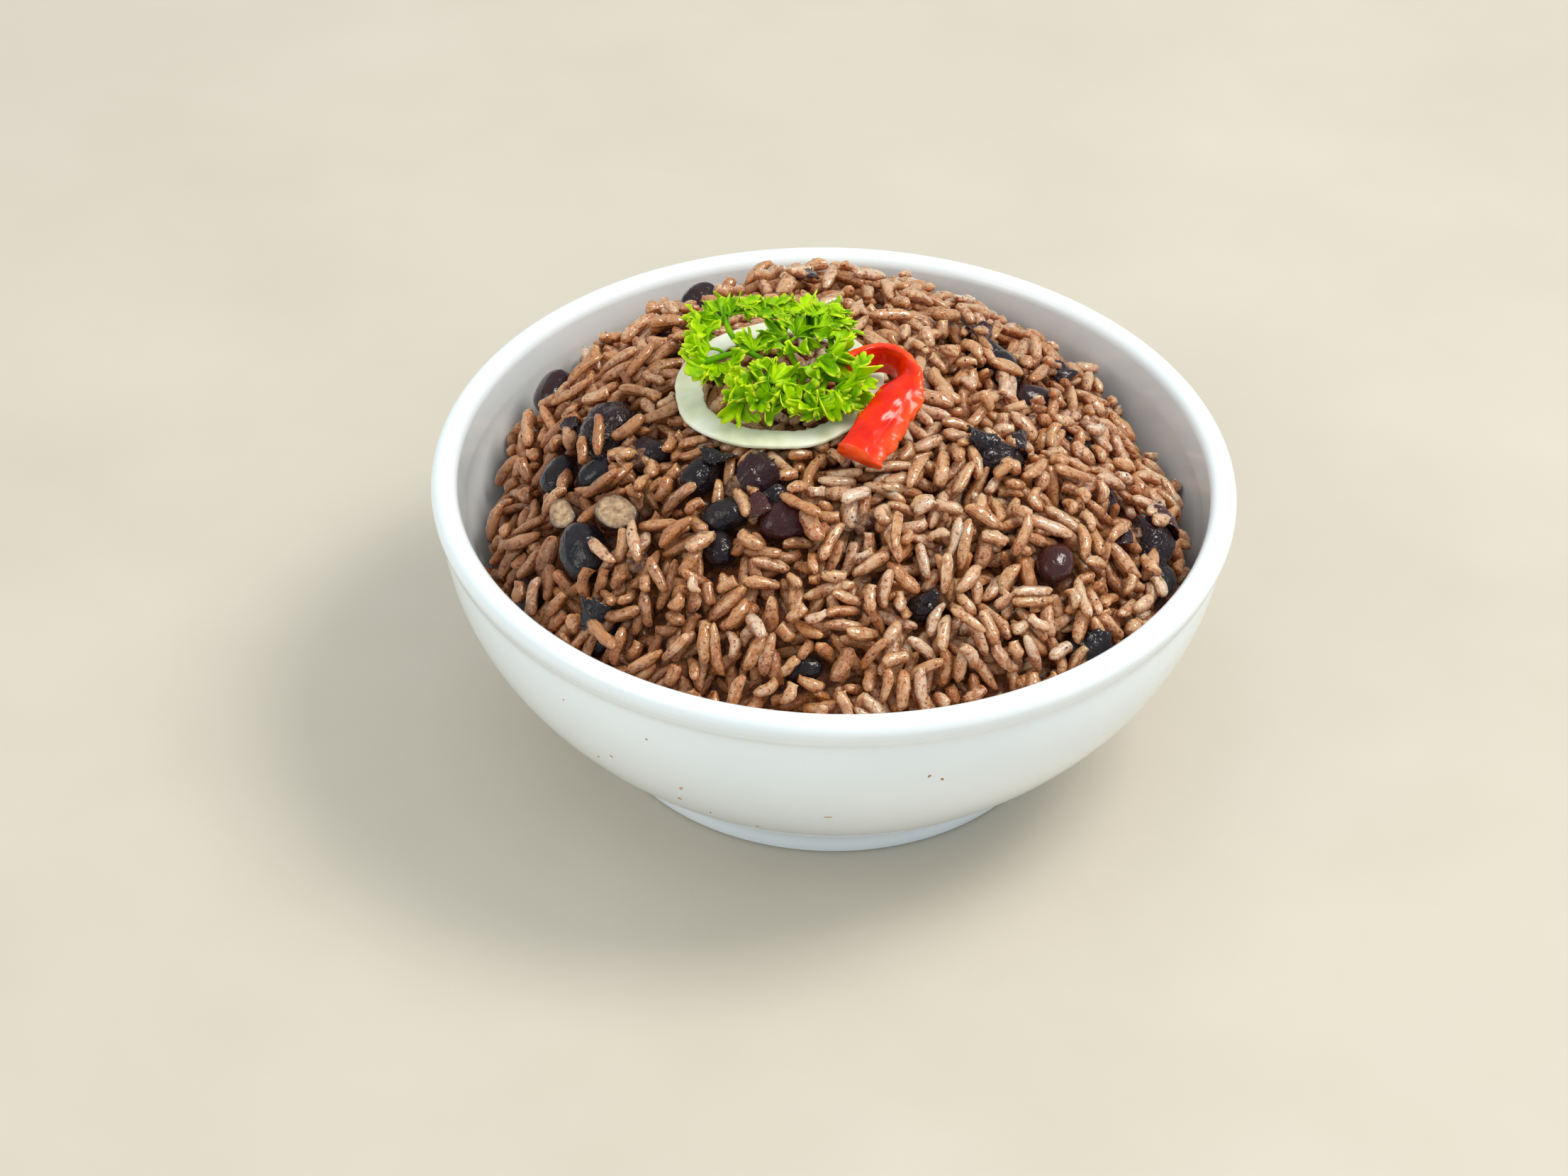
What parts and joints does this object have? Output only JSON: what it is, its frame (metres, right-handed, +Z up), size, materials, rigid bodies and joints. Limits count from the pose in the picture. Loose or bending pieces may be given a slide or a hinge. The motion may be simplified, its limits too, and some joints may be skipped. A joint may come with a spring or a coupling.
{
  "type": "bowl of rice and beans",
  "caption": "Round white glazed bowl filled with a mound of brown rice and black beans, topped with an onion ring, a curly parsley sprig and a curled strip of red pepper.",
  "frame": {"origin": "on the bowl's axis, in the plane that its foot ring rests on", "axes": "+Z up along the bowl's axis, -Y towards the viewer, +X to the viewer's right"},
  "size_m": [0.14, 0.14, 0.0812],
  "materials": {
    "glaze": "glossy white glaze on fired ceramic",
    "rice_and_beans": "moist cooked rice tinted brown, with glossy black beans",
    "onion": "wet translucent raw onion",
    "parsley": "fresh curly leaf with paler edges",
    "pepper": "glossy fresh red pepper"
  },
  "bodies": {
    "root": {"bowl": "glaze", "rice_and_beans": "rice_and_beans", "onion_ring": "onion", "parsley_sprig": "parsley", "pepper_strip": "pepper"}
  },
  "joints": []
}
